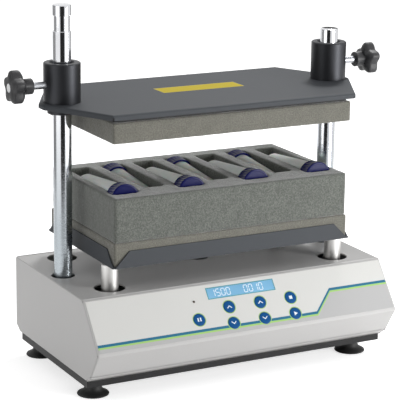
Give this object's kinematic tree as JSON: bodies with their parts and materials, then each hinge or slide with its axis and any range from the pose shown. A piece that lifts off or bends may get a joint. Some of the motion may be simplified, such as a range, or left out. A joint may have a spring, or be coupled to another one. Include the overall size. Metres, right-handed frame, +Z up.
{
  "type": "vortex mixer",
  "caption": "Bench mixer with a sloped key panel, an orbiting foam-lined tray holding capped tubes, and a foam-lined plate clamped on two tall posts by star knobs.",
  "frame": {"origin": "on the bench, under the centre of the main drive shaft, midway along the housing", "axes": "+X to the right along the housing seen from the control panel, +Y towards the rear wall, +Z up"},
  "size_m": [0.4554, 0.2258, 0.4115],
  "materials": {
    "painted_steel": "satin powder coat",
    "black_steel": "satin black powder coat",
    "black_rubber": "matte",
    "zinc_steel": "bright zinc",
    "polyester_film": "matte printed film",
    "clear_window": "clear",
    "lcd": "lit blue",
    "lamp": "unlit amber lens",
    "key_silicone": "satin",
    "satin_steel": "satin ground",
    "chromed_steel": "polished",
    "dark_paint": "satin powder coat",
    "pad_foam": "open-cell polyurethane foam",
    "insert_foam": "open-cell polyurethane foam",
    "clear_polypropylene": "translucent",
    "navy_polyethylene": "moulded",
    "black_board": "matte",
    "black_anodised": "satin black anodised",
    "nylon": "natural",
    "phenolic": "moulded",
    "brass": "turned",
    "cast_aluminium": "milled",
    "bearing_steel": "ground",
    "deck_steel": "zinc plated plate",
    "motor_paint": "painted",
    "circuit_board": "solder mask",
    "black_nylon": "moulded"
  },
  "bodies": {
    "base": {"cover": "painted_steel", "base_pan": "black_steel", "feet": "black_rubber", "foot_studs": "zinc_steel", "panel_overlay": "polyester_film", "display_window": "clear_window", "display_module": "lcd", "status_led": "lamp", "deck_bearings": "bearing_steel", "drive_deck": "deck_steel", "deck_pillars": "zinc_steel", "drive_motor": "motor_paint", "deck_screws": "zinc_steel", "control_board": "circuit_board", "board_nuts": "zinc_steel", "power_supply": "circuit_board", "motor_driver": "circuit_board", "mains_inlet": "black_nylon", "switch_housing": "black_nylon", "cover_screws": "zinc_steel"},
    "crank": {"crank_shaft": "bearing_steel", "counterweight": "brass"},
    "idler_left": {"idler_crank_left": "bearing_steel"},
    "idler_right": {"idler_crank_right": "bearing_steel"},
    "carrier": {"drive_plate": "cast_aluminium", "carrier_bearings": "bearing_steel", "short_post_front_left": "satin_steel", "short_post_front_right": "satin_steel", "short_post_rear_left": "satin_steel", "short_post_rear_right": "satin_steel", "tall_post_left": "chromed_steel", "tall_post_right": "chromed_steel", "carrier_screws": "zinc_steel", "tray": "dark_paint", "base_pad": "pad_foam", "tube_insert": "insert_foam", "tubes": "clear_polypropylene", "tube_caps": "navy_polyethylene"},
    "clamp": {"clamp_plate": "dark_paint", "backing_board": "black_board", "top_pad": "pad_foam", "collar_left": "black_anodised", "collar_right": "black_anodised", "collar_liners": "nylon", "collar_nuts": "black_anodised"},
    "left_tip": {"tip_left": "brass"},
    "right_tip": {"tip_right": "brass"},
    "left_knob": {"knob_left": "phenolic", "screw_left": "zinc_steel"},
    "right_knob": {"knob_right": "phenolic", "screw_right": "zinc_steel"},
    "fuse_drawer": {"fuse_drawer": "black_nylon"},
    "rocker": {"rocker": "black_nylon"},
    "key_mode": {"key_mode": "key_silicone"},
    "key_speed_up": {"key_speed_up": "key_silicone"},
    "key_speed_down": {"key_speed_down": "key_silicone"},
    "key_time_up": {"key_time_up": "key_silicone"},
    "key_time_down": {"key_time_down": "key_silicone"},
    "key_stop": {"key_stop": "key_silicone"},
    "key_start": {"key_start": "key_silicone"}
  },
  "joints": [
    {"name": "carrier_turn", "type": "hinge", "parent": "crank", "child": "carrier", "pos_m": [0.0009, 0.00156, 0.074], "axis": [0, 0, 1], "continuous": true},
    {"name": "crank_spin", "type": "hinge", "parent": "base", "child": "crank", "pos_m": [0, 0, 0.063], "axis": [0, 0, 1], "continuous": true},
    {"name": "idler_left_spin", "type": "hinge", "parent": "base", "child": "idler_left", "pos_m": [-0.095, 0, 0.063], "axis": [0, 0, 1], "continuous": true},
    {"name": "idler_right_spin", "type": "hinge", "parent": "base", "child": "idler_right", "pos_m": [0.095, 0, 0.063], "axis": [0, 0, 1], "continuous": true},
    {"name": "clamp_height", "type": "slide", "parent": "carrier", "child": "clamp", "axis": [0, 0, 1], "range_m": [-0.04, 0.0635]},
    {"name": "left_knob_turn", "type": "hinge", "parent": "left_tip", "child": "left_knob", "pos_m": [-0.2106, 0.00156, 0.3265], "axis": [-1, 0, 0], "range_deg": [0, 1080]},
    {"name": "left_tip_slide", "type": "slide", "parent": "clamp", "child": "left_tip", "axis": [-1, 0, 0], "range_m": [0, 0.00375]},
    {"name": "right_knob_turn", "type": "hinge", "parent": "right_tip", "child": "right_knob", "pos_m": [0.2124, 0.00156, 0.3265], "axis": [1, 0, 0], "range_deg": [0, 1080]},
    {"name": "right_tip_slide", "type": "slide", "parent": "clamp", "child": "right_tip", "axis": [1, 0, 0], "range_m": [0, 0.00375]},
    {"name": "key_mode_press", "type": "slide", "parent": "base", "child": "key_mode", "axis": [0, 0.7885, -0.615], "range_m": [0, 0.0005], "stiffness_N_per_m": 2000},
    {"name": "key_speed_up_press", "type": "slide", "parent": "base", "child": "key_speed_up", "axis": [0, 0.7885, -0.615], "range_m": [0, 0.0005], "stiffness_N_per_m": 2000},
    {"name": "key_speed_down_press", "type": "slide", "parent": "base", "child": "key_speed_down", "axis": [0, 0.7885, -0.615], "range_m": [0, 0.0005], "stiffness_N_per_m": 2000},
    {"name": "key_time_up_press", "type": "slide", "parent": "base", "child": "key_time_up", "axis": [0, 0.7885, -0.615], "range_m": [0, 0.0005], "stiffness_N_per_m": 2000},
    {"name": "key_time_down_press", "type": "slide", "parent": "base", "child": "key_time_down", "axis": [0, 0.7885, -0.615], "range_m": [0, 0.0005], "stiffness_N_per_m": 2000},
    {"name": "key_stop_press", "type": "slide", "parent": "base", "child": "key_stop", "axis": [0, 0.7885, -0.615], "range_m": [0, 0.0005], "stiffness_N_per_m": 2000},
    {"name": "key_start_press", "type": "slide", "parent": "base", "child": "key_start", "axis": [0, 0.7885, -0.615], "range_m": [0, 0.0005], "stiffness_N_per_m": 2000},
    {"name": "rocker_rock", "type": "hinge", "parent": "base", "child": "rocker", "pos_m": [-0.092, 0.0915, 0.052], "axis": [0, 0, 1], "range_deg": [-18, 0]},
    {"name": "fuse_drawer_pull", "type": "slide", "parent": "base", "child": "fuse_drawer", "axis": [0, 1, 0], "range_m": [0, 0.012]}
  ],
  "couplings": [
    {"joint": "crank_spin", "follows": "carrier_turn", "ratio": -1},
    {"joint": "idler_left_spin", "follows": "carrier_turn", "ratio": -1},
    {"joint": "idler_right_spin", "follows": "carrier_turn", "ratio": -1},
    {"joint": "left_knob_turn", "follows": "left_tip_slide", "rad_per_m": 5026.5},
    {"joint": "right_knob_turn", "follows": "right_tip_slide", "rad_per_m": 5026.5}
  ]
}
